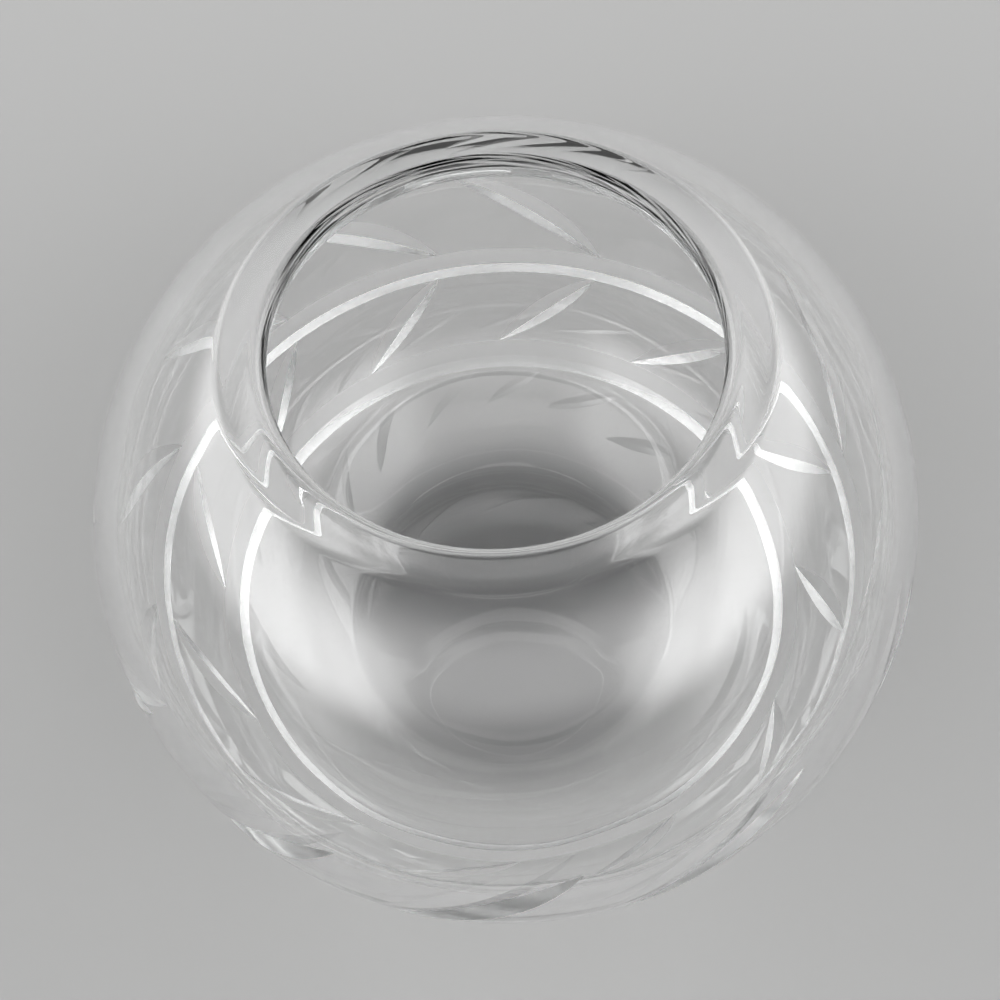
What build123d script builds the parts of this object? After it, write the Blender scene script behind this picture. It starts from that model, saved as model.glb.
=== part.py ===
from build123d import *
from math import asin, atan2, cos, degrees, radians, sin, sqrt, tan
import os

os.makedirs("parts", exist_ok=True)

# Driving sizes, in millimetres and degrees.
# Widest outer radius of the bowl.
belly_radius = 75.0
# Radius of the one arc that shapes the outside from foot to lip.
side_radius = 62.0
# Where the side arc would meet the table.
foot_radius = 37.5
# Small round between the flat foot and the side.
foot_round = 2.0
# Clear radius of the mouth.
mouth_radius = 34.2
# Round on the inner edge of the lip.
lip_round = 2.25
# Width of the level flat that is ground on the lip.
rim_width = 3.8
# Softer round where that flat runs into the side.
rim_round = 4.0
# Glass thickness at the widest level.
wall = 4.9
# Glass thickness under the cavity.
floor_thickness = 12.0
# Included angle of the V-edged wheel that makes every cut.
wheel_angle = 126.0
# Depth of the two ring cuts.
ring_depth = 1.95
# How far each ring cut lies below the widest level.
upper_ring_drop = 13.6
lower_ring_drop = 37.2
# Number of leaf pairs around the bowl.
leaf_pairs = 12
# Turn of the leaf pattern about the axis.
pattern_turn = 9.0
# Slope of a leaf against the level.
leaf_slope = 40.5
# Deepest point of each leaf cut.
upper_leaf_depth = 2.0
lower_leaf_depth = 1.5
# Radius of the path that the wheel follows along each leaf.
upper_path_radius = 138.0
lower_path_radius = 600.0

# Clearances.
# How far an upper leaf runs into the ring cut that it grows from.
leaf_overlap = 0.8
# How far the cutting wheel stands clear of the glass.
wheel_clearance = 1.5
# Plain glass left above the leaf tips.
tip_clearance = 2.5
# Height of the base's inner edge above the cavity floor.
floor_step = 1.5
# Plain glass between the lower ring cut and the base's outer edge.
heel_width = 4.0


def around(centre, radius, angle):
    """Point of the section at an angle about a centre."""
    return (centre[0] + radius * cos(angle), centre[1] + radius * sin(angle))


def angle_about(centre, point):
    """Angle of a point about a centre."""
    return atan2(point[1] - centre[1], point[0] - centre[0])


def level_radius(centre, radius, height):
    """Radius at which an arc of the section crosses a height."""
    return centre[0] + sqrt(radius**2 - (height - centre[1]) ** 2)


def inward_to_arc(start, angle, centre, radius):
    """Point where a line going inward from the outside first meets a cavity arc."""
    across = start[0] - centre[0]
    up = start[1] - centre[1]
    along = -across * cos(angle) - up * sin(angle)
    reach = -along - sqrt(along**2 - across**2 - up**2 + radius**2)
    return (start[0] - reach * cos(angle), start[1] - reach * sin(angle))


def arc_between(centre, radius, start, end):
    """Arc of the section about a centre, from one point to another."""
    middle = (angle_about(centre, start) + angle_about(centre, end)) / 2
    return ThreePointArc(start, around(centre, radius, middle), end)


# The outside: one arc about a centre beside the axis.
side_centre_radius = belly_radius - side_radius
belly_height = sqrt(side_radius**2 - (foot_radius - side_centre_radius) ** 2)
side_centre = (side_centre_radius, belly_height)

# The lip: a level flat between its inner round and a softer one that touches the outside from within.
lip_radius = mouth_radius + lip_round
rim_radius = lip_radius + rim_width
rim_rise = sqrt((side_radius - rim_round) ** 2 - (rim_radius - side_centre_radius) ** 2)
rim_centre = (rim_radius, belly_height + rim_rise)
rim_height = rim_centre[1] + rim_round
lip_centre = (lip_radius, rim_height - lip_round)
lip_rise = lip_centre[1] - belly_height

# The cavity: one arc above the widest level, which the lip touches, and one below it.
cavity_radius = belly_radius - wall
lip_inset = lip_radius - cavity_radius
upper_cavity_arc = (lip_inset**2 + lip_rise**2 - lip_round**2) / (2 * (lip_round - lip_inset))
upper_cavity_centre = (cavity_radius - upper_cavity_arc, belly_height)
lower_cavity_arc = belly_height - floor_thickness
lower_cavity_centre = (cavity_radius - lower_cavity_arc, belly_height)

# The ring cuts, as angles about the side arc's centre.
half_wheel = radians(wheel_angle / 2)
ring_half = half_wheel - asin((side_radius - ring_depth) / side_radius * sin(half_wheel))
upper_ring = -asin(upper_ring_drop / side_radius)
lower_ring = -asin(lower_ring_drop / side_radius)


def leaf_half(angle, depth, path_radius):
    """Half the length of a leaf, from its depth and the path of the wheel."""
    level_curve = cos(angle) / (side_centre_radius + side_radius * cos(angle))
    slope = radians(leaf_slope)
    glass_curve = cos(slope) ** 2 * level_curve + sin(slope) ** 2 / side_radius
    return sqrt(2 * depth / (glass_curve - 1 / path_radius))


def leaf_rise(half_length):
    """Angle of the section from the ring cut's edge to the middle of a leaf."""
    return (half_length * sin(radians(leaf_slope)) - leaf_overlap) / side_radius


def leaf_turn(angle, half_length):
    """Turn in degrees from a leaf's root to its middle."""
    radius = side_centre_radius + side_radius * cos(angle)
    return degrees(half_length * cos(radians(leaf_slope)) / radius)


def leaf_plane(angle, slope, depth, path_radius, half_sweep):
    """Plane where the wheel's sweep starts: X on the turning axis, Y out of the glass."""
    outward = Vector(cos(angle), 0, sin(angle))
    upward = Vector(-sin(angle), 0, cos(angle))
    ahead = Vector(0, 1, 0) * cos(slope) + upward * sin(slope)
    start = around(side_centre, side_radius - depth - path_radius, angle)
    heading = ahead * cos(half_sweep) + outward * sin(half_sweep)
    return Plane(origin=(start[0], 0, start[1]), x_dir=outward.cross(ahead), z_dir=heading)


# The leaves: the upper ones grow from the upper ring cut, the lower ones span between the rings.
upper_leaf_half = leaf_half(0, upper_leaf_depth, upper_path_radius)
lower_leaf_half = leaf_half(upper_ring, lower_leaf_depth, lower_path_radius)
upper_leaf_middle = upper_ring + ring_half + leaf_rise(upper_leaf_half)
lower_leaf_middle = (upper_ring + lower_ring) / 2
upper_leaf_start = pattern_turn + leaf_turn(upper_leaf_middle, upper_leaf_half)
lower_leaf_start = pattern_turn + leaf_turn(lower_leaf_middle, lower_leaf_half)
band_top = upper_leaf_middle + leaf_rise(upper_leaf_half) + tip_clearance / side_radius

# The wheel: half its sweep, its height above the cut line and half its width there.
upper_half_sweep = (upper_leaf_half + wheel_clearance) / upper_path_radius
lower_half_sweep = (lower_leaf_half + wheel_clearance) / lower_path_radius
upper_wheel_height = upper_leaf_depth + wheel_clearance
lower_wheel_height = lower_leaf_depth + wheel_clearance
upper_wheel_half = upper_wheel_height * tan(half_wheel)
lower_wheel_half = lower_wheel_height * tan(half_wheel)
upper_wheel_plane = leaf_plane(
    upper_leaf_middle, radians(leaf_slope), upper_leaf_depth, upper_path_radius, upper_half_sweep
)
lower_wheel_plane = leaf_plane(
    lower_leaf_middle, -radians(leaf_slope), lower_leaf_depth, lower_path_radius, lower_half_sweep
)

# Points of the section, from the lip down to the foot.
lip_outer = around(side_centre, side_radius, angle_about(side_centre, rim_centre))
rim_outer = (rim_radius, rim_height)
rim_inner = (lip_radius, rim_height)
mouth_edge = (mouth_radius, lip_centre[1])
lip_inner = around(upper_cavity_centre, upper_cavity_arc, angle_about(upper_cavity_centre, lip_centre))
band_top_outer = around(side_centre, side_radius, band_top)
band_top_inner = inward_to_arc(band_top_outer, band_top, upper_cavity_centre, upper_cavity_arc)
cavity_belly = (cavity_radius, belly_height)
upper_ring_top = around(side_centre, side_radius, upper_ring + ring_half)
upper_ring_line = around(side_centre, side_radius - ring_depth, upper_ring)
upper_ring_foot = around(side_centre, side_radius, upper_ring - ring_half)
upper_ring_inner = inward_to_arc(upper_ring_line, upper_ring, lower_cavity_centre, lower_cavity_arc)
lower_ring_top = around(side_centre, side_radius, lower_ring + ring_half)
lower_ring_line = around(side_centre, side_radius - ring_depth, lower_ring)
lower_ring_foot = around(side_centre, side_radius, lower_ring - ring_half)
lower_ring_inner = inward_to_arc(lower_ring_line, lower_ring, lower_cavity_centre, lower_cavity_arc)
base_outer = around(side_centre, side_radius, lower_ring - ring_half - heel_width / side_radius)
base_rim = floor_thickness + floor_step
base_inner = (level_radius(lower_cavity_centre, lower_cavity_arc, base_rim), base_rim)
floor_edge = (lower_cavity_centre[0], floor_thickness)
foot_centre = (level_radius(side_centre, side_radius - foot_round, foot_round), foot_round)
foot_outer = around(side_centre, side_radius, angle_about(side_centre, foot_centre))
foot_flat = (foot_centre[0], 0)

# Lip around the mouth, ground level on top.
with BuildPart() as lip:
    with BuildSketch(Plane.XZ):
        with BuildLine():
            arc_between(rim_centre, rim_round, lip_outer, rim_outer)
            Line(rim_outer, rim_inner)
            ThreePointArc(rim_inner, mouth_edge, lip_inner)
            Line(lip_inner, lip_outer)
        make_face()
    revolve(axis=Axis.Z)
lip.part.label = "lip"
export_step(lip.part, "parts/lip.step")

# Plain incurved shoulder between the lip and the leaf tips.
with BuildPart() as shoulder:
    with BuildSketch(Plane.XZ):
        with BuildLine():
            Line(lip_inner, lip_outer)
            arc_between(side_centre, side_radius, lip_outer, band_top_outer)
            Line(band_top_outer, band_top_inner)
            arc_between(upper_cavity_centre, upper_cavity_arc, band_top_inner, lip_inner)
        make_face()
    revolve(axis=Axis.Z)
shoulder.part.label = "shoulder"
export_step(shoulder.part, "parts/shoulder.step")

# Sweep of the wheel along one upper leaf.
with BuildPart() as upper_leaf_wheel:
    with BuildSketch(upper_wheel_plane):
        with BuildLine():
            Polyline(
                (0, upper_path_radius),
                (upper_wheel_half, upper_path_radius + upper_wheel_height),
                (-upper_wheel_half, upper_path_radius + upper_wheel_height),
                close=True,
            )
        make_face()
    revolve(
        axis=Axis(upper_wheel_plane.origin, upper_wheel_plane.x_dir),
        revolution_arc=degrees(2 * upper_half_sweep),
    )

# Widest part of the bowl, with the rising leaves.
with BuildPart() as upper_leaf_band:
    with BuildSketch(Plane.XZ):
        with BuildLine():
            Line(band_top_inner, band_top_outer)
            arc_between(side_centre, side_radius, band_top_outer, upper_ring_top)
            Line(upper_ring_top, upper_ring_line)
            Line(upper_ring_line, upper_ring_inner)
            arc_between(lower_cavity_centre, lower_cavity_arc, upper_ring_inner, cavity_belly)
            arc_between(upper_cavity_centre, upper_cavity_arc, cavity_belly, band_top_inner)
        make_face()
    revolve(axis=Axis.Z)
    with PolarLocations(0, leaf_pairs, upper_leaf_start):
        add(upper_leaf_wheel.part, mode=Mode.SUBTRACT)
upper_leaf_band.part.label = "upper_leaf_band"
export_step(upper_leaf_band.part, "parts/upper_leaf_band.step")

# Sweep of the wheel along one lower leaf.
with BuildPart() as lower_leaf_wheel:
    with BuildSketch(lower_wheel_plane):
        with BuildLine():
            Polyline(
                (0, lower_path_radius),
                (lower_wheel_half, lower_path_radius + lower_wheel_height),
                (-lower_wheel_half, lower_path_radius + lower_wheel_height),
                close=True,
            )
        make_face()
    revolve(
        axis=Axis(lower_wheel_plane.origin, lower_wheel_plane.x_dir),
        revolution_arc=degrees(2 * lower_half_sweep),
    )

# Band between the two ring cuts, with the falling leaves.
with BuildPart() as lower_leaf_band:
    with BuildSketch(Plane.XZ):
        with BuildLine():
            Line(upper_ring_inner, upper_ring_line)
            Line(upper_ring_line, upper_ring_foot)
            arc_between(side_centre, side_radius, upper_ring_foot, lower_ring_top)
            Line(lower_ring_top, lower_ring_line)
            Line(lower_ring_line, lower_ring_inner)
            arc_between(lower_cavity_centre, lower_cavity_arc, lower_ring_inner, upper_ring_inner)
        make_face()
    revolve(axis=Axis.Z)
    with PolarLocations(0, leaf_pairs, lower_leaf_start):
        add(lower_leaf_wheel.part, mode=Mode.SUBTRACT)
lower_leaf_band.part.label = "lower_leaf_band"
export_step(lower_leaf_band.part, "parts/lower_leaf_band.step")

# Thick wall below the lower ring cut.
with BuildPart() as heel:
    with BuildSketch(Plane.XZ):
        with BuildLine():
            Line(lower_ring_inner, lower_ring_line)
            Line(lower_ring_line, lower_ring_foot)
            arc_between(side_centre, side_radius, lower_ring_foot, base_outer)
            Line(base_outer, base_inner)
            arc_between(lower_cavity_centre, lower_cavity_arc, base_inner, lower_ring_inner)
        make_face()
    revolve(axis=Axis.Z)
heel.part.label = "heel"
export_step(heel.part, "parts/heel.step")

# Solid floor with the flat ground foot.
with BuildPart() as base:
    with BuildSketch(Plane.XZ):
        with BuildLine():
            Line((0, 0), foot_flat)
            arc_between(foot_centre, foot_round, foot_flat, foot_outer)
            arc_between(side_centre, side_radius, foot_outer, base_outer)
            Line(base_outer, base_inner)
            arc_between(lower_cavity_centre, lower_cavity_arc, base_inner, floor_edge)
            Line(floor_edge, (0, floor_thickness))
            Line((0, floor_thickness), (0, 0))
        make_face()
    revolve(axis=Axis.Z)
base.part.label = "base"
export_step(base.part, "parts/base.step")
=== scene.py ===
from math import asin, atan, atan2, cos, pi, radians, sin, sqrt, tan

import bmesh
import bpy
from bpy.props import FloatProperty, FloatVectorProperty, IntProperty, PointerProperty
from mathutils import Matrix, Vector


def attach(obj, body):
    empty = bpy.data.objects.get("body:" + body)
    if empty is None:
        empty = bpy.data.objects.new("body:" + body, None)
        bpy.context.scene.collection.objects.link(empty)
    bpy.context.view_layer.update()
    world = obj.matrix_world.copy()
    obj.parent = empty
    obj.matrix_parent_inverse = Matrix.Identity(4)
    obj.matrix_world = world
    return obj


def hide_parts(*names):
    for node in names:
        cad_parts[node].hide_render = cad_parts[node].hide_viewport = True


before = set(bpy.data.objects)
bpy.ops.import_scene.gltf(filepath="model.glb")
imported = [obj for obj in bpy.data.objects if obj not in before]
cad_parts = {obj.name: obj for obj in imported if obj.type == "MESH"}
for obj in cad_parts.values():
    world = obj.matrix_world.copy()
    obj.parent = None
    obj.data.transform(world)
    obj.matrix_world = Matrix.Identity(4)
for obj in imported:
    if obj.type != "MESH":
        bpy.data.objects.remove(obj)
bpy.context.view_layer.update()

bl_info = {
    "name": "Cut-glass rose bowl",
    "version": (1, 0, 0),
    "blender": (4, 5, 0),
    "location": "View3D > Sidebar > Rose bowl",
    "description": "Builds a clear cut-glass rose bowl on a plain pale floor",
    "category": "Object",
}

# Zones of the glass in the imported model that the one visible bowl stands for.
GLASS_ZONES = ("lip", "shoulder", "upper_leaf_band", "lower_leaf_band", "heel", "base")
# Face attribute that is 1 where the wheel cut the glass and 0 on its skin.
CUT_MARK = "wheel_cut"
# Steps of the wheel along one leaf.
WHEEL_STEPS = 32
# Vertices closer than this, in metres, are one.
WELD = 1e-6
# Edges sharper than this, in degrees, stay crisp.
CRISP_EDGE = 18
# Faint film on the skin: patches in a metre, and the noise between which a patch comes up.
FILM_PATCHES = 45.0
FILM_START, FILM_FULL = 0.5, 0.75
# The plain floor's radius in metres, and its number of sides.
FLOOR_RADIUS, FLOOR_SIDES = 6.0, 96
# Direction towards the viewer at which the wall behind the viewer is fully lit.
FRONT_FULL = -0.8
# How often light may pass through glass, and be mirrored by it.
GLASS_BOUNCES, MIRROR_BOUNCES = 24, 12
# The camera's film width, in millimetres, and the nearest that it sees, in metres.
FILM_WIDTH, NEAREST = 36.0, 0.01


def length(name, description, default):
    """A size in metres that a user may change."""
    return FloatProperty(
        name=name, description=description, default=default, min=0.0, precision=5, unit="LENGTH"
    )


def angle(name, description, degrees):
    """An angle that a user may change."""
    return FloatProperty(
        name=name, description=description, default=radians(degrees), subtype="ANGLE"
    )


def amount(name, description, default):
    """A plain number that a user may change."""
    return FloatProperty(name=name, description=description, default=default, min=0.0, precision=4)


def colour(name, description, default):
    """A colour that a user may change."""
    return FloatVectorProperty(
        name=name, description=description, default=default, size=3, min=0.0, max=1.0,
        subtype="COLOR",
    )


class RoseBowlSizes(bpy.types.PropertyGroup):
    """Sizes of the glass."""

    belly_radius: length("Belly radius", "Widest outer radius", 0.075)
    side_radius: length("Side radius", "Radius of the arc that shapes the outside", 0.062)
    foot_radius: length("Foot radius", "Where the side arc would meet the table", 0.0375)
    foot_round: length("Foot round", "Round between the flat foot and the side", 0.002)
    mouth_radius: length("Mouth radius", "Clear radius of the mouth", 0.0342)
    lip_round: length("Lip round", "Round on the inner edge of the lip", 0.00225)
    rim_width: length("Rim width", "Width of the level flat on the lip", 0.0038)
    rim_round: length("Rim round", "Softer round where that flat runs into the side", 0.004)
    wall: length("Wall", "Glass thickness at the widest level", 0.0049)
    floor_thickness: length("Floor thickness", "Glass thickness under the cavity", 0.012)
    wheel_angle: angle("Wheel angle", "Included angle of the V-edged cutting wheel", 126.0)
    ring_depth: length("Ring depth", "Depth of the two ring cuts", 0.00195)
    upper_ring_drop: length("Upper ring drop", "Upper ring cut below the widest level", 0.0136)
    lower_ring_drop: length("Lower ring drop", "Lower ring cut below the widest level", 0.0372)
    leaf_pairs: IntProperty(name="Leaf pairs", description="Leaf pairs around", default=12, min=3)
    pattern_turn: angle("Pattern turn", "Turn of the leaf pattern about the axis", 9.0)
    leaf_slope: angle("Leaf slope", "Slope of a leaf against the level", 40.5)
    upper_leaf_depth: length("Upper leaf depth", "Deepest point of an upper leaf", 0.002)
    lower_leaf_depth: length("Lower leaf depth", "Deepest point of a lower leaf", 0.0015)
    upper_path_radius: length("Upper path radius", "Path of the wheel along an upper leaf", 0.138)
    lower_path_radius: length("Lower path radius", "Path of the wheel along a lower leaf", 0.600)
    leaf_overlap: length("Leaf overlap", "How far an upper leaf runs into its ring cut", 0.0008)
    wheel_clearance: length("Wheel clearance", "How far the wheel clears the glass", 0.0015)
    edge_round: length("Edge round", "Softening of the ring cuts' polished edges", 0.00012)


class RoseBowlFinish(bpy.types.PropertyGroup):
    """Look of the glass."""

    tint: colour("Tint", "Colour of light that passed through thick glass", (0.80, 0.815, 0.81))
    depth: amount("Depth", "Strength of the tint in each metre of glass", 4.5)
    ior: amount("Refraction", "Index of refraction of the crystal", 1.54)
    haze: amount("Haze", "Least roughness of the polished skin", 0.004)
    film: amount("Film", "Extra roughness in patches of faint film", 0.02)
    satin: amount("Satin", "Extra roughness of the wheel cuts", 0.27)
    ripple: length("Ripple", "Height of the skin's slow ripple", 0.0002)
    ripple_width: length("Ripple width", "Spacing of the skin's slow ripple", 0.025)


class RoseBowlStudio(bpy.types.PropertyGroup):
    """Floor, light and camera."""

    floor_colour: colour("Floor", "Colour of the plain floor", (0.385, 0.385, 0.383))
    ambient: amount("Ambient", "Studio light from every side", 0.03)
    backdrop_glow: amount("Backdrop glow", "Brightness of the plain backdrop all round", 0.66)
    backdrop_low: amount("Backdrop low", "Sine of the height where it begins to fade", 0.12)
    backdrop_end: amount("Backdrop end", "Sine of the height where it ends", 0.3)
    side_glow: amount("Side glow", "Studio light from the walls left and right", 4.1)
    side_start: amount("Side start", "Squared sideways direction at which those walls begin", 0.1)
    side_full: amount("Side full", "Squared sideways direction at which they are fully lit", 0.35)
    side_low: amount("Side low", "Sine of the height at which those walls are fully lit", 0.36)
    side_top: amount("Side top", "Sine of the height at which those walls begin to darken", 0.55)
    side_end: amount("Side end", "Sine of the height at which those walls are dark", 0.75)
    front_glow: amount("Front glow", "Studio light from the wall behind the viewer", 3.3)
    front_low: amount("Front low", "Sine of the height at which that wall is fully lit", 0.5)
    front_top: amount("Front top", "Sine of the height at which that wall begins to darken", 0.65)
    front_end: amount("Front end", "Sine of the height at which that wall is dark", 0.9)
    floor_gap: length("Floor gap", "Gap between the foot and the floor", 0.0003)
    key_width: length("Key width", "Width of the lamp above the viewer", 0.6)
    key_depth: length("Key depth", "Depth of the lamp above the viewer", 0.3)
    key_rise: length("Key rise", "Height of the lamp above the viewer", 0.9)
    key_forward: length("Key forward", "How far that lamp hangs towards the viewer", 0.34)
    key_glow: amount("Key glow", "Brightness of the lamp above the viewer", 0.6)
    back_width: length("Back width", "Width of the lamp behind the bowl", 1.0)
    back_depth: length("Back depth", "Depth of the lamp behind the bowl", 0.4)
    back_rise: length("Back rise", "Height of the lamp behind the bowl", 0.75)
    back_away: length("Back away", "How far that lamp hangs from the viewer", 0.6)
    back_glow: amount("Back glow", "Brightness of the lamp behind the bowl", 1.2)
    lamp_fade: amount("Lamp fade", "Share of a lamp's glow at which its soft border ends", 0.6)
    view_focal: amount("Focal length", "Camera's focal length in image widths", 1.1)
    view_distance: length("View distance", "Camera's distance from the bowl's middle", 0.2114)
    view_elevation: angle("View elevation", "Camera's height above the level", 62.6)
    view_roll: angle("View roll", "Camera's roll", -3.54)
    view_across: amount("View across", "Middle of the bowl across the image", 0.5046)
    view_down: amount("View down", "Middle of the bowl down the image", 0.5059)


class Value:
    """A number in a material's nodes. Sums and products of values add Math nodes."""

    def __init__(self, shade, socket):
        self.shade = shade
        self.socket = socket

    def combine(self, operation, first, second):
        node = self.shade.node("ShaderNodeMath", {"operation": operation}, {0: first, 1: second})
        return self.shade.value(node, "Value")

    def __add__(self, other):
        return self.combine("ADD", self, other)

    def __sub__(self, other):
        return self.combine("SUBTRACT", self, other)

    def __rsub__(self, other):
        return self.combine("SUBTRACT", other, self)

    def __mul__(self, other):
        return self.combine("MULTIPLY", self, other)

    __radd__ = __add__
    __rmul__ = __mul__


class Shade:
    """The nodes of one material, world or lamp."""

    def __init__(self, owner):
        owner.use_nodes = True
        self.tree = owner.node_tree
        self.tree.nodes.clear()

    def node(self, kind, settings=None, sockets=None):
        """A node of a kind, with its settings made first and then its sockets' values or links."""
        made = self.tree.nodes.new(kind)
        for name, setting in (settings or {}).items():
            setattr(made, name, setting)
        for name, value in (sockets or {}).items():
            if isinstance(value, Value):
                self.tree.links.new(value.socket, made.inputs[name])
            else:
                made.inputs[name].default_value = value
        return made

    def value(self, node, name):
        """A node's output as a value."""
        return Value(self, node.outputs[name])


def around(centre, radius, turn):
    """Point of the section at an angle about a centre."""
    return (centre[0] + radius * cos(turn), centre[1] + radius * sin(turn))


def angle_about(centre, point):
    """Angle of a point about a centre."""
    return atan2(point[1] - centre[1], point[0] - centre[0])


class Section:
    """The bowl's half section in the XZ plane, traced like a lathe's path."""

    def __init__(self, mesh, start):
        self.mesh = mesh
        self.end = mesh.verts.new((start[0], 0, start[1]))

    def line(self, point):
        """Carries the path straight on to a point."""
        self.end = bmesh.ops.extrude_vert_indiv(self.mesh, verts=[self.end])["verts"][0]
        self.end.co = (point[0], 0, point[1])
        return self.end

    def arc(self, centre, to_angle, stride):
        """Turns the path about a centre until it reaches an angle there."""
        pivot = Vector((centre[0], 0, centre[1]))
        turn = to_angle - angle_about(centre, (self.end.co.x, self.end.co.z))
        steps = max(2, round(abs(turn) * (self.end.co - pivot).length / stride))
        made = bmesh.ops.spin(
            self.mesh, geom=[self.end], cent=pivot, axis=(0, -1, 0), angle=turn, steps=steps
        )
        self.end = next(g for g in made["geom_last"] if isinstance(g, bmesh.types.BMVert))
        return self.end


class Bowl:
    """Places and angles of the bowl's section, worked out from its sizes."""

    def __init__(self, s):
        self.sizes = s
        centre_radius = s.belly_radius - s.side_radius
        self.belly_height = sqrt(s.side_radius**2 - (s.foot_radius - centre_radius) ** 2)
        self.side_centre = (centre_radius, self.belly_height)
        lip_radius = s.mouth_radius + s.lip_round
        rim_radius = lip_radius + s.rim_width
        rim_rise = sqrt((s.side_radius - s.rim_round) ** 2 - (rim_radius - centre_radius) ** 2)
        self.rim_centre = (rim_radius, self.belly_height + rim_rise)
        self.rim_height = self.rim_centre[1] + s.rim_round
        self.lip_centre = (lip_radius, self.rim_height - s.lip_round)
        rise = self.lip_centre[1] - self.belly_height
        self.cavity_radius = s.belly_radius - s.wall
        inset = lip_radius - self.cavity_radius
        self.upper_arc = (inset**2 + rise**2 - s.lip_round**2) / (2 * (s.lip_round - inset))
        self.upper_centre = (self.cavity_radius - self.upper_arc, self.belly_height)
        self.lower_arc = self.belly_height - s.floor_thickness
        self.lower_centre = (self.cavity_radius - self.lower_arc, self.belly_height)
        self.half_wheel = s.wheel_angle / 2
        slant = asin((s.side_radius - s.ring_depth) / s.side_radius * sin(self.half_wheel))
        self.ring_half = self.half_wheel - slant
        self.upper_ring = -asin(s.upper_ring_drop / s.side_radius)
        self.lower_ring = -asin(s.lower_ring_drop / s.side_radius)

    def outside(self, turn, depth=0.0):
        """Point of the outside at an angle about the side arc's centre, or under it."""
        return around(self.side_centre, self.sizes.side_radius - depth, turn)

    def in_ring(self, place):
        """Whether a place lies on a facet of one of the ring cuts."""
        s = self.sizes
        point = (sqrt(place.x**2 + place.y**2), place.z)
        turn = angle_about(self.side_centre, point)
        reach = sqrt((point[0] - self.side_centre[0]) ** 2 + (point[1] - self.side_centre[1]) ** 2)
        near = min(abs(turn - self.upper_ring), abs(turn - self.lower_ring))
        return near < self.ring_half and reach > s.side_radius - s.ring_depth - s.edge_round

    def leaf_half(self, turn, depth, path_radius):
        """Half the length of a leaf, from its depth and the wheel's path."""
        s = self.sizes
        level_curve = cos(turn) / (self.side_centre[0] + s.side_radius * cos(turn))
        curve = cos(s.leaf_slope) ** 2 * level_curve + sin(s.leaf_slope) ** 2 / s.side_radius
        return sqrt(2 * depth / (curve - 1 / path_radius))


def turned_glass(bowl):
    """The bowl without its leaves: its section, with both ring cuts, spun about the axis."""
    s = bowl.sizes
    mesh = bmesh.new()
    outer_stride, inner_stride, fine_stride, turns = 0.0013, 0.0016, 0.0005, 240
    foot = sqrt((s.side_radius - s.foot_round) ** 2 - (s.foot_round - bowl.belly_height) ** 2)
    foot_centre = (bowl.side_centre[0] + foot, s.foot_round)
    floor_edge = bowl.lower_centre[0]
    flat_margin, rim_margin = 0.001, 0.0003
    path = Section(mesh, (0, 0))
    path.line((foot_centre[0] - flat_margin, 0))
    path.line((foot_centre[0], 0))
    path.arc(foot_centre, angle_about(bowl.side_centre, foot_centre), fine_stride / 2)
    corners = []
    for ring in (bowl.lower_ring, bowl.upper_ring):
        corners.append(path.arc(bowl.side_centre, ring - bowl.ring_half, outer_stride))
        corners.append(path.line(bowl.outside(ring, s.ring_depth)))
        corners.append(path.line(bowl.outside(ring + bowl.ring_half)))
    path.arc(bowl.side_centre, angle_about(bowl.side_centre, bowl.rim_centre), outer_stride)
    path.arc(bowl.rim_centre, pi / 2, fine_stride / 2)
    path.line((bowl.rim_centre[0] - rim_margin, bowl.rim_height))
    path.line((bowl.lip_centre[0] + rim_margin, bowl.rim_height))
    path.line((bowl.lip_centre[0], bowl.rim_height))
    path.arc(bowl.lip_centre, angle_about(bowl.upper_centre, bowl.lip_centre) + pi, fine_stride / 2)
    path.arc(bowl.upper_centre, 0.0, inner_stride)
    path.arc(bowl.lower_centre, -pi / 2, inner_stride)
    path.line((floor_edge - flat_margin, s.floor_thickness))
    path.line((0, s.floor_thickness))
    bmesh.ops.bevel(
        mesh, geom=corners, offset=s.edge_round, offset_type="OFFSET", segments=3,
        profile=0.5, affect="VERTICES", material=-1,
    )
    bmesh.ops.spin(
        mesh, geom=mesh.verts[:] + mesh.edges[:], cent=(0, 0, 0), axis=(0, 0, 1),
        angle=2 * pi, steps=turns, use_merge=True,
    )
    bmesh.ops.remove_doubles(mesh, verts=mesh.verts[:], dist=WELD)
    bmesh.ops.recalc_face_normals(mesh, faces=mesh.faces[:])
    mark = mesh.faces.layers.float.new(CUT_MARK)
    for face in mesh.faces:
        face[mark] = float(bowl.in_ring(face.calc_center_median()))
    return mesh


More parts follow.
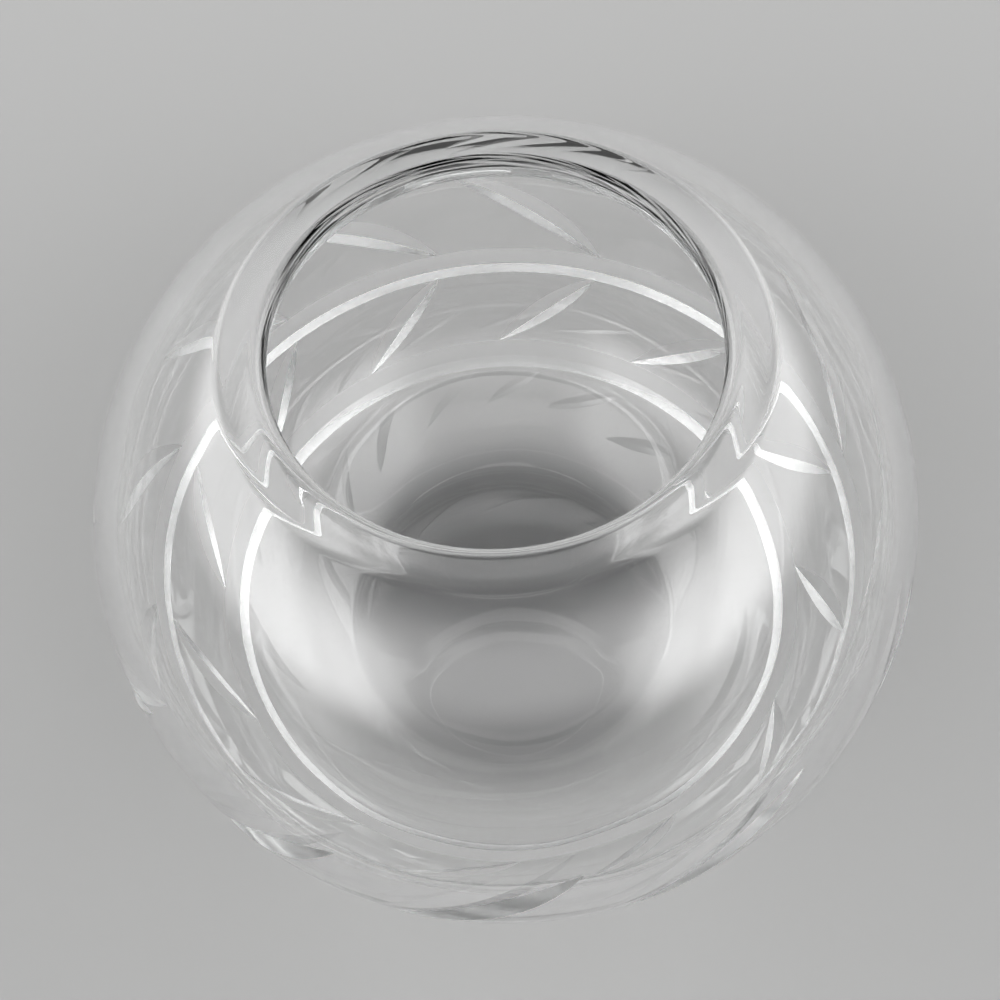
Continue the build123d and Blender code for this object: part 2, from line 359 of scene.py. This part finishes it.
def wheel_sweeps(bowl, middle, slope, depth, path_radius, half_length):
    """The V-edged wheel's sweep along one leaf, repeated around the bowl."""
    s = bowl.sizes
    mesh = bmesh.new()
    outward = Vector((cos(middle), 0, sin(middle)))
    upward = Vector((-sin(middle), 0, cos(middle)))
    ahead = Vector((0, 1, 0)) * cos(slope) + upward * sin(slope)
    across = outward.cross(ahead)
    hub_place = bowl.outside(middle, depth + path_radius)
    hub = Vector((hub_place[0], 0, hub_place[1]))
    half_sweep = (half_length + s.wheel_clearance) / path_radius
    height = depth + s.wheel_clearance
    half_width = height * tan(bowl.half_wheel)
    spoke = outward * cos(half_sweep) - ahead * sin(half_sweep)
    edge = mesh.verts.new(hub + spoke * path_radius)
    rims = [
        mesh.verts.new(hub + spoke * (path_radius + height) + across * side * half_width)
        for side in (-1, 1)
    ]
    wheel = mesh.faces.new([edge, *rims])
    bmesh.ops.spin(
        mesh, geom=[wheel, *wheel.edges, *wheel.verts], cent=hub, axis=across,
        angle=2 * half_sweep, steps=WHEEL_STEPS,
    )
    start = s.pattern_turn + half_length * cos(slope) / (
        bowl.side_centre[0] + s.side_radius * cos(middle)
    )
    bmesh.ops.rotate(
        mesh, verts=mesh.verts[:], cent=(0, 0, 0), matrix=Matrix.Rotation(start, 3, "Z")
    )
    copies = s.leaf_pairs - 1
    bmesh.ops.spin(
        mesh, geom=mesh.verts[:] + mesh.edges[:] + mesh.faces[:], cent=(0, 0, 0), axis=(0, 0, 1),
        angle=2 * pi * copies / s.leaf_pairs, steps=copies, use_duplicate=True,
    )
    bmesh.ops.recalc_face_normals(mesh, faces=mesh.faces[:])
    mark = mesh.faces.layers.float.new(CUT_MARK)
    for face in mesh.faces:
        face[mark] = 1.0
    return mesh


def mesh_object(mesh, name, material):
    """Turns a bmesh into an object of the scene, at the origin."""
    data = bpy.data.meshes.new(name)
    mesh.to_mesh(data)
    mesh.free()
    data.materials.append(material)
    made = bpy.data.objects.new(name, data)
    bpy.context.scene.collection.objects.link(made)
    return made


def carve(glass, cutters):
    """Cuts the glass with each set of sweeps, keeps the result as its mesh and drops the sweeps."""
    for cutter in cutters:
        cut = glass.modifiers.new(cutter.name, "BOOLEAN")
        cut.operation = "DIFFERENCE"
        cut.solver = "MANIFOLD"
        cut.object = cutter
    shaped = glass.evaluated_get(bpy.context.evaluated_depsgraph_get())
    carved = bpy.data.meshes.new_from_object(shaped)
    glass.modifiers.clear()
    glass.data = carved
    for cutter in cutters:
        bpy.data.objects.remove(cutter)


def crystal(finish):
    """Clear crystal: a fire-polished skin with a slow ripple, and satin wheel cuts."""
    material = bpy.data.materials.new("crystal")
    shade = Shade(material)
    place = shade.value(shade.node("ShaderNodeTexCoord"), "Object")
    cut = shade.value(shade.node("ShaderNodeAttribute", {"attribute_name": CUT_MARK}), "Fac")
    film_noise = shade.node(
        "ShaderNodeTexNoise", {},
        {"Vector": place, "Scale": FILM_PATCHES, "Detail": 5.0, "Roughness": 0.6},
    )
    film = shade.node(
        "ShaderNodeMapRange", {"clamp": True},
        {
            "Value": shade.value(film_noise, "Fac"),
            "From Min": FILM_START,
            "From Max": FILM_FULL,
        },
    )
    haze = shade.value(film, "Result") * finish.film + cut * finish.satin + finish.haze
    ripple = shade.node(
        "ShaderNodeTexNoise", {},
        {"Vector": place, "Scale": 1 / finish.ripple_width, "Detail": 1.0, "Roughness": 0.4},
    )
    bump = shade.node(
        "ShaderNodeBump", {},
        {"Strength": 1.0, "Distance": finish.ripple, "Height": shade.value(ripple, "Fac")},
    )
    glass = shade.node(
        "ShaderNodeBsdfPrincipled", {},
        {
            "Base Color": (1.0, 1.0, 1.0, 1.0),
            "Roughness": haze,
            "IOR": finish.ior,
            "Transmission Weight": 1.0,
            "Normal": shade.value(bump, "Normal"),
        },
    )
    body = shade.node(
        "ShaderNodeVolumeAbsorption", {}, {"Color": (*finish.tint, 1.0), "Density": finish.depth}
    )
    shade.node(
        "ShaderNodeOutputMaterial", {},
        {"Surface": shade.value(glass, "BSDF"), "Volume": shade.value(body, "Volume")},
    )
    return material


class RoseBowlBlow(bpy.types.Operator):
    """Build the cut-glass bowl"""

    bl_idname = "rose_bowl.blow"
    bl_label = "Build the bowl"

    def execute(self, context):
        sizes = context.scene.rose_bowl_sizes
        finish = context.scene.rose_bowl_finish
        bowl = Bowl(sizes)
        material = crystal(finish)
        glass = mesh_object(turned_glass(bowl), "rose_bowl_glass", material)
        upper_half = bowl.leaf_half(0.0, sizes.upper_leaf_depth, sizes.upper_path_radius)
        lower_half = bowl.leaf_half(
            bowl.upper_ring, sizes.lower_leaf_depth, sizes.lower_path_radius
        )
        upper_rise = (upper_half * sin(sizes.leaf_slope) - sizes.leaf_overlap) / sizes.side_radius
        upper_middle = bowl.upper_ring + bowl.ring_half + upper_rise
        lower_middle = (bowl.upper_ring + bowl.lower_ring) / 2
        upper_leaves = wheel_sweeps(
            bowl, upper_middle, sizes.leaf_slope, sizes.upper_leaf_depth,
            sizes.upper_path_radius, upper_half,
        )
        lower_leaves = wheel_sweeps(
            bowl, lower_middle, -sizes.leaf_slope, sizes.lower_leaf_depth,
            sizes.lower_path_radius, lower_half,
        )
        carve(
            glass,
            [
                mesh_object(upper_leaves, "upper_leaf_cuts", material),
                mesh_object(lower_leaves, "lower_leaf_cuts", material),
            ],
        )
        glass.data.shade_smooth()
        glass.data.set_sharp_from_angle(angle=radians(CRISP_EDGE))
        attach(glass, "root")
        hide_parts(*GLASS_ZONES)
        return {"FINISHED"}


class RoseBowlStage(bpy.types.Operator):
    """Set the floor, the soft light and the camera"""

    bl_idname = "rose_bowl.stage"
    bl_label = "Set the stage"

    def execute(self, context):
        studio = context.scene.rose_bowl_studio
        bowl = Bowl(context.scene.rose_bowl_sizes)
        self.lay_floor(studio)
        self.light_world(context.scene, studio)
        middle = Vector((0, 0, bowl.belly_height))
        self.hang_lamp(
            studio, "key", Vector((0, -studio.key_forward, studio.key_rise)), middle,
            (studio.key_width, studio.key_depth), studio.key_glow,
        )
        self.hang_lamp(
            studio, "back_light", Vector((0, studio.back_away, studio.back_rise)), middle,
            (studio.back_width, studio.back_depth), studio.back_glow,
        )
        self.place_camera(context.scene, studio, bowl.belly_height)
        context.scene.view_settings.view_transform = "Standard"
        context.scene.cycles.max_bounces = GLASS_BOUNCES
        context.scene.cycles.transmission_bounces = GLASS_BOUNCES
        context.scene.cycles.glossy_bounces = MIRROR_BOUNCES
        return {"FINISHED"}

    def lay_floor(self, studio):
        """A wide plain disc just under the foot."""
        material = bpy.data.materials.new("pale_floor")
        shade = Shade(material)
        paint = shade.node(
            "ShaderNodeBsdfPrincipled", {},
            {
                "Base Color": (*studio.floor_colour, 1.0),
                "Roughness": 0.8,
                "Specular IOR Level": 0.2,
            },
        )
        shade.node("ShaderNodeOutputMaterial", {}, {"Surface": shade.value(paint, "BSDF")})
        mesh = bmesh.new()
        bmesh.ops.create_circle(
            mesh, cap_ends=True, radius=FLOOR_RADIUS, segments=FLOOR_SIDES
        )
        bmesh.ops.translate(mesh, verts=mesh.verts[:], vec=(0, 0, -studio.floor_gap))
        mesh_object(mesh, "floor", material)

    def light_world(self, scene, studio):
        """Plain pale backdrop, and above it soft light from both sides and from the front."""
        scene.world = bpy.data.worlds.new("studio")
        shade = Shade(scene.world)
        direction = shade.value(shade.node("ShaderNodeTexCoord"), "Generated")
        parts = shade.node("ShaderNodeSeparateXYZ", {}, {"Vector": direction})
        across, depth, height = (shade.value(parts, axis) for axis in "XYZ")
        backdrop = self.smooth_step(shade, height, studio.backdrop_end, studio.backdrop_low)
        sides = (
            self.smooth_step(shade, across * across, studio.side_start, studio.side_full)
            * self.smooth_step(shade, height, studio.backdrop_low, studio.side_low)
            * self.smooth_step(shade, height, studio.side_end, studio.side_top)
        )
        front = (
            self.smooth_step(shade, depth, 0.0, FRONT_FULL)
            * self.smooth_step(shade, height, studio.backdrop_low, studio.front_low)
            * self.smooth_step(shade, height, studio.front_end, studio.front_top)
        )
        strength = (
            sides * studio.side_glow + front * studio.front_glow
            + backdrop * studio.backdrop_glow + studio.ambient
        )
        glow = shade.node("ShaderNodeBackground", {}, {"Strength": strength})
        shade.node("ShaderNodeOutputWorld", {}, {"Surface": shade.value(glow, "Background")})

    def smooth_step(self, shade, value, start, end):
        """A value that goes smoothly from 0 to 1 while another goes from start to end."""
        step = shade.node(
            "ShaderNodeMapRange", {"interpolation_type": "SMOOTHSTEP"},
            {"Value": value, "From Min": start, "From Max": end},
        )
        return shade.value(step, "Result")

    def hang_lamp(self, studio, name, place, target, size, glow):
        """A large lamp that faces a point and fades out towards its border."""
        lamp = bpy.data.lights.new(name, "AREA")
        lamp.shape = "RECTANGLE"
        lamp.size, lamp.size_y = size
        lamp.energy = glow * pi * lamp.size * lamp.size_y
        shade = Shade(lamp)
        across = shade.node(
            "ShaderNodeSeparateXYZ", {},
            {"Vector": shade.value(shade.node("ShaderNodeNewGeometry"), "Parametric")},
        )
        u, v = shade.value(across, "X"), shade.value(across, "Y")
        # 1 in the lamp's middle and 0 all along its border.
        dome = u * (1 - u) * v * (1 - v) * 16
        fade = self.smooth_step(shade, dome, 0.0, studio.lamp_fade)
        light = shade.node("ShaderNodeEmission", {}, {"Strength": fade})
        shade.node("ShaderNodeOutputLight", {}, {"Surface": shade.value(light, "Emission")})
        hung = bpy.data.objects.new(name, lamp)
        bpy.context.scene.collection.objects.link(hung)
        hung.location = place
        hung.rotation_euler = (target - place).to_track_quat("-Z", "Y").to_euler()
        hung.visible_camera = False

    def place_camera(self, scene, studio, belly_height):
        """The camera at the photograph's place, its middle a little off the bowl's."""
        lens = bpy.data.cameras.new("photo_view")
        lens.sensor_width = FILM_WIDTH
        lens.lens = FILM_WIDTH * studio.view_focal
        lens.clip_start = NEAREST
        view = bpy.data.objects.new("photo_view", lens)
        scene.collection.objects.link(view)
        level = studio.view_elevation
        back = Vector((0, -cos(level), sin(level)))
        upright = Matrix((Vector((1, 0, 0)), back.cross(Vector((1, 0, 0))), back)).transposed()
        yaw = atan((studio.view_across - 0.5) / studio.view_focal)
        pitch = atan((studio.view_down - 0.5) / studio.view_focal)
        turn = (
            Matrix.Rotation(studio.view_roll, 3, "Z")
            @ Matrix.Rotation(yaw, 3, "Y")
            @ Matrix.Rotation(pitch, 3, "X")
        )
        place = back * studio.view_distance + Vector((0, 0, belly_height))
        view.matrix_world = Matrix.Translation(place) @ (upright @ turn).to_4x4()
        scene.camera = view


class RoseBowlPanel(bpy.types.Panel):
    """Sizes, finish and stage of the rose bowl"""

    bl_idname = "VIEW3D_PT_rose_bowl"
    bl_label = "Rose bowl"
    bl_space_type = "VIEW_3D"
    bl_region_type = "UI"
    bl_category = "Rose bowl"

    def draw(self, context):
        for group in ("rose_bowl_sizes", "rose_bowl_finish", "rose_bowl_studio"):
            settings = getattr(context.scene, group)
            box = self.layout.box()
            for name in type(settings).__annotations__:
                box.prop(settings, name)
        for operator in (RoseBowlBlow, RoseBowlStage):
            self.layout.operator(operator.bl_idname)


GROUPS = {
    "rose_bowl_sizes": RoseBowlSizes,
    "rose_bowl_finish": RoseBowlFinish,
    "rose_bowl_studio": RoseBowlStudio,
}
CLASSES = (*GROUPS.values(), RoseBowlBlow, RoseBowlStage, RoseBowlPanel)


def register():
    """Adds the classes and their settings to Blender."""
    for item in CLASSES:
        bpy.utils.register_class(item)
    for name, group in GROUPS.items():
        setattr(bpy.types.Scene, name, PointerProperty(type=group))


def unregister():
    """Takes the settings and classes out again."""
    for name in GROUPS:
        delattr(bpy.types.Scene, name)
    for item in reversed(CLASSES):
        bpy.utils.unregister_class(item)


def main():
    """Builds the bowl and its stage."""
    register()
    bpy.ops.rose_bowl.blow()
    bpy.ops.rose_bowl.stage()


if __name__ == "__main__":
    main()
